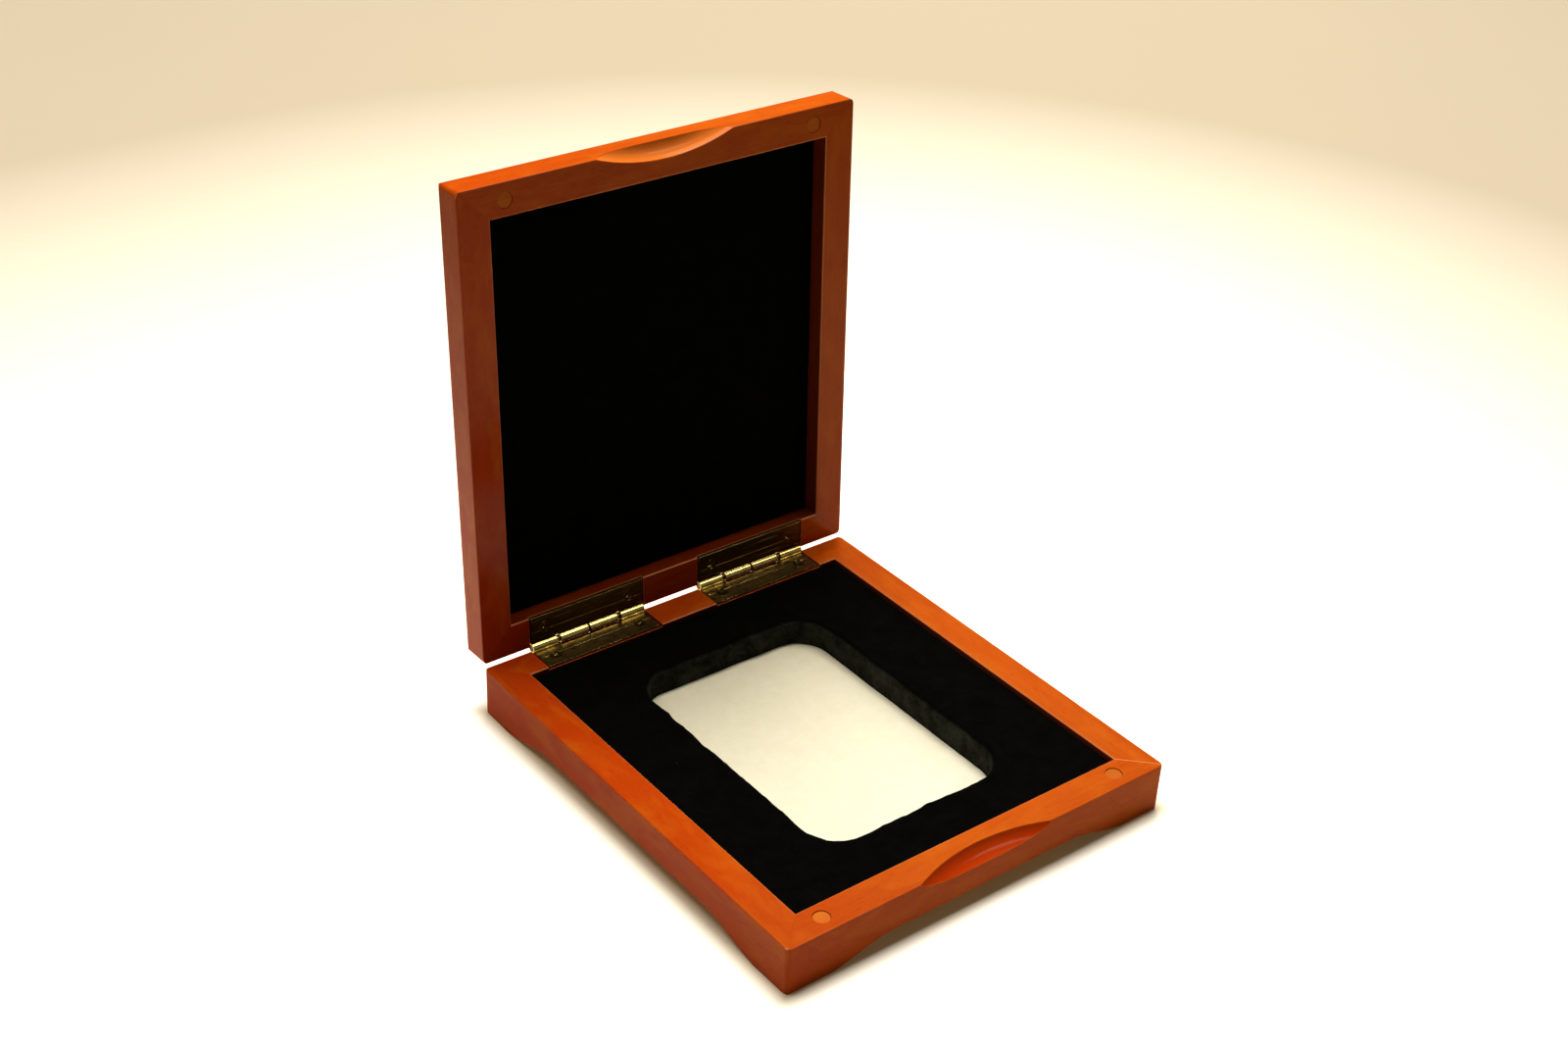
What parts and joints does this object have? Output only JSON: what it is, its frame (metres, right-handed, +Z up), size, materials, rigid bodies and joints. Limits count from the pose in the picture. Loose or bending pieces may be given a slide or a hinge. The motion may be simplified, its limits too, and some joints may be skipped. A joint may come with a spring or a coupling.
{
  "type": "coin display case",
  "caption": "Hinged wooden display case for a coin slab, with a velvet insert and pocket in a footed base and a velvet-lined lid that stands open.",
  "frame": {"origin": "on the table, under the centre of the open case's bounding box, 7.8 mm behind the centre of the base", "axes": "+X along the hinges to the right, +Y towards the hinge side, +Z up"},
  "size_m": [0.127, 0.1546, 0.1545],
  "materials": {
    "stained_wood": "satin lacquer over a cherry stain",
    "velvet": "black pile",
    "antique_brass": "antique, darkened",
    "magnet_metal": "satin",
    "fibreboard": "raw",
    "card": "matte"
  },
  "bodies": {
    "base": {"base_rail_front": "stained_wood", "base_rail_back": "stained_wood", "base_rail_left": "stained_wood", "base_rail_right": "stained_wood", "bottom_board": "fibreboard", "insert_core": "fibreboard", "pocket_lining": "card", "base_velvet": "velvet", "base_magnet_left": "magnet_metal", "base_magnet_right": "magnet_metal", "hinge_left_base_leaf": "antique_brass", "hinge_left_pin": "antique_brass", "hinge_right_base_leaf": "antique_brass", "hinge_right_pin": "antique_brass", "base_leaf_screws": "antique_brass"},
    "lid": {"lid_rail_front": "stained_wood", "lid_rail_back": "stained_wood", "lid_rail_left": "stained_wood", "lid_rail_right": "stained_wood", "lid_panel": "stained_wood", "lid_pad_board": "card", "lid_velvet": "velvet", "lid_magnet_left": "magnet_metal", "lid_magnet_right": "magnet_metal", "hinge_left_lid_leaf": "antique_brass", "hinge_right_lid_leaf": "antique_brass", "lid_leaf_screws": "antique_brass"}
  },
  "joints": [
    {"name": "lid_hinge", "type": "hinge", "parent": "base", "child": "lid", "pos_m": [0, 0.06219, 0.0151], "axis": [1, 0, 0], "range_deg": [0, 92.5]}
  ]
}
